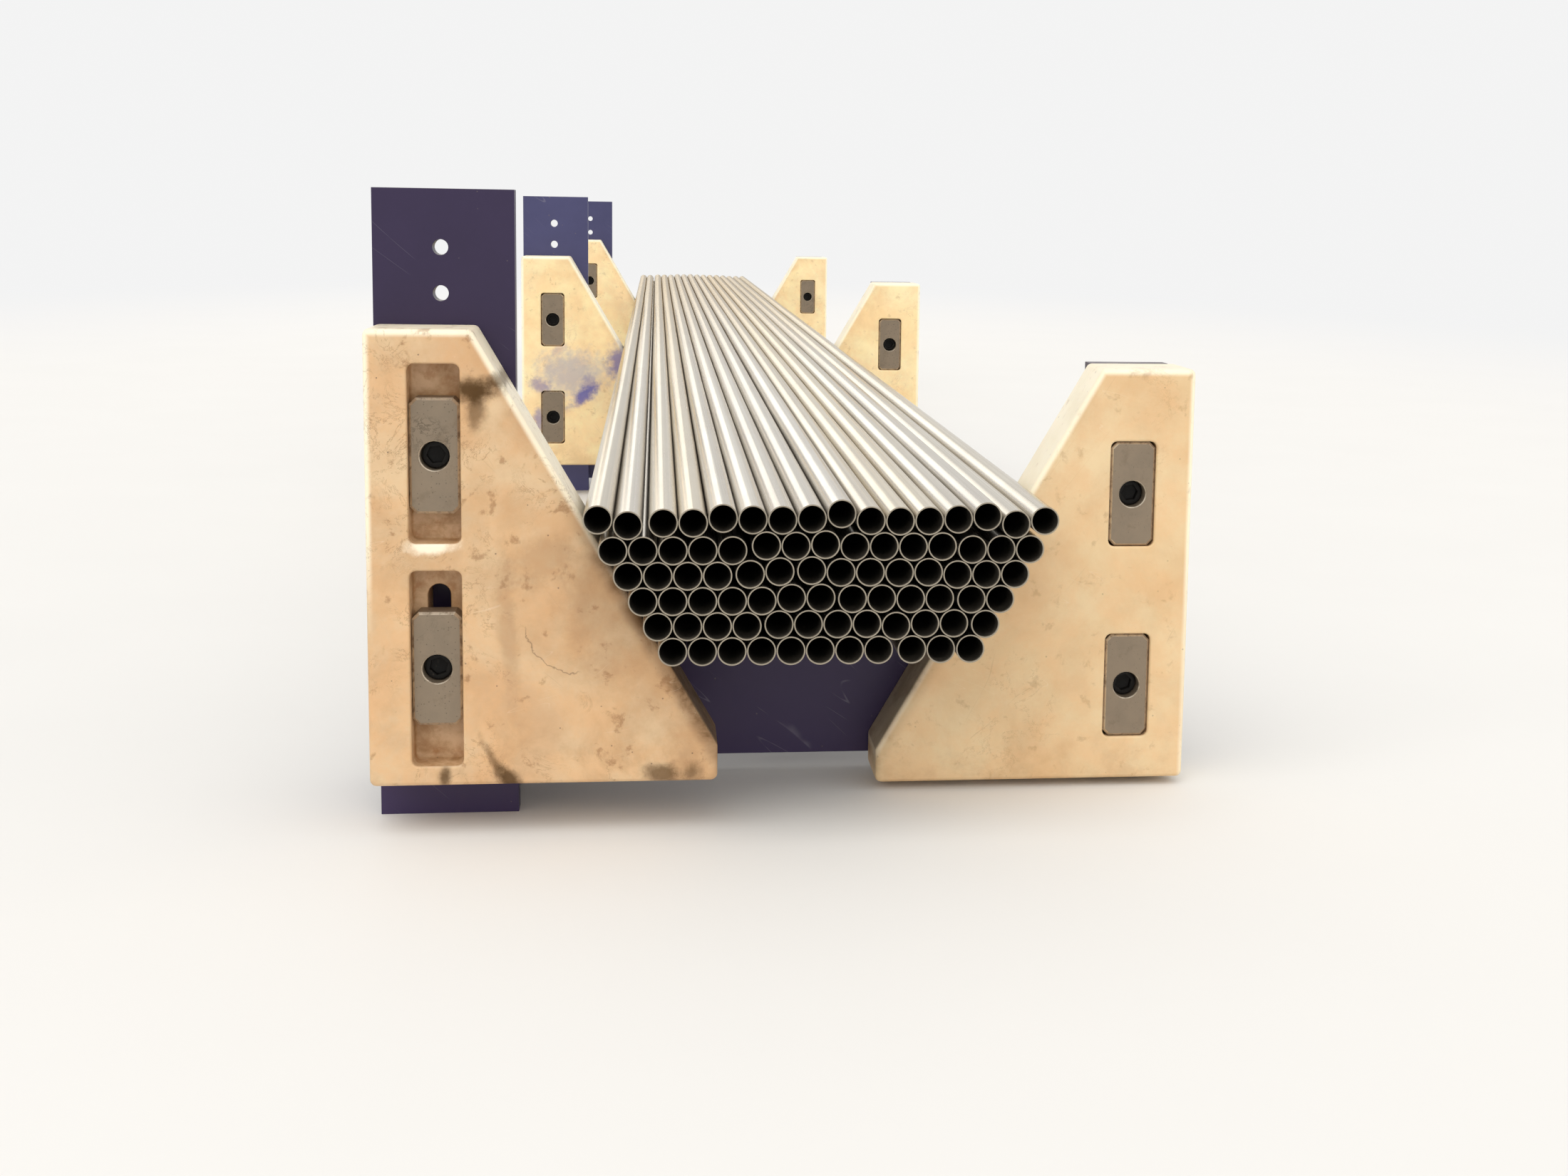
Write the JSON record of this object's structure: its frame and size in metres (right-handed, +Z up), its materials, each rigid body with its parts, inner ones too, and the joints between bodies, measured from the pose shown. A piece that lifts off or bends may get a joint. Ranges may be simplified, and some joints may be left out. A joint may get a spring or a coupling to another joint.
{
  "type": "bundle of steel pipes",
  "caption": "Bundle of round steel tubes with open ends, nested in layers and held by V-shaped pairs of plastic chocks on painted steel frames.",
  "frame": {"origin": "on the floor, under the middle of the whole part's box", "axes": "+Y along the pipes, away from the cut ends that the picture shows; +Z up; +X across the bundle, to the right seen from those ends"},
  "size_m": [0.7824, 6, 0.581],
  "materials": {
    "steel_pipe": "bright drawn",
    "chock_plastic": "worn matte",
    "clamp_steel": "zinc plated",
    "screw_steel": "black oxide",
    "frame_paint": "satin"
  },
  "bodies": {
    "root": {"chock_left_1": "chock_plastic", "chock_left_2": "chock_plastic", "chock_left_3": "chock_plastic", "chock_right_1": "chock_plastic", "chock_right_2": "chock_plastic", "chock_right_3": "chock_plastic", "clamp_plates_left": "clamp_steel", "clamp_plates_right": "clamp_steel", "clamp_screws_left": "screw_steel", "clamp_screws_right": "screw_steel", "pipe_layer_1": "steel_pipe", "pipe_layer_2": "steel_pipe", "pipe_layer_3": "steel_pipe", "pipe_layer_4": "steel_pipe", "pipe_layer_5": "steel_pipe", "pipe_layer_6": "steel_pipe", "station_frame_1": "frame_paint", "station_frame_2": "frame_paint", "station_frame_3": "frame_paint"}
  },
  "joints": []
}
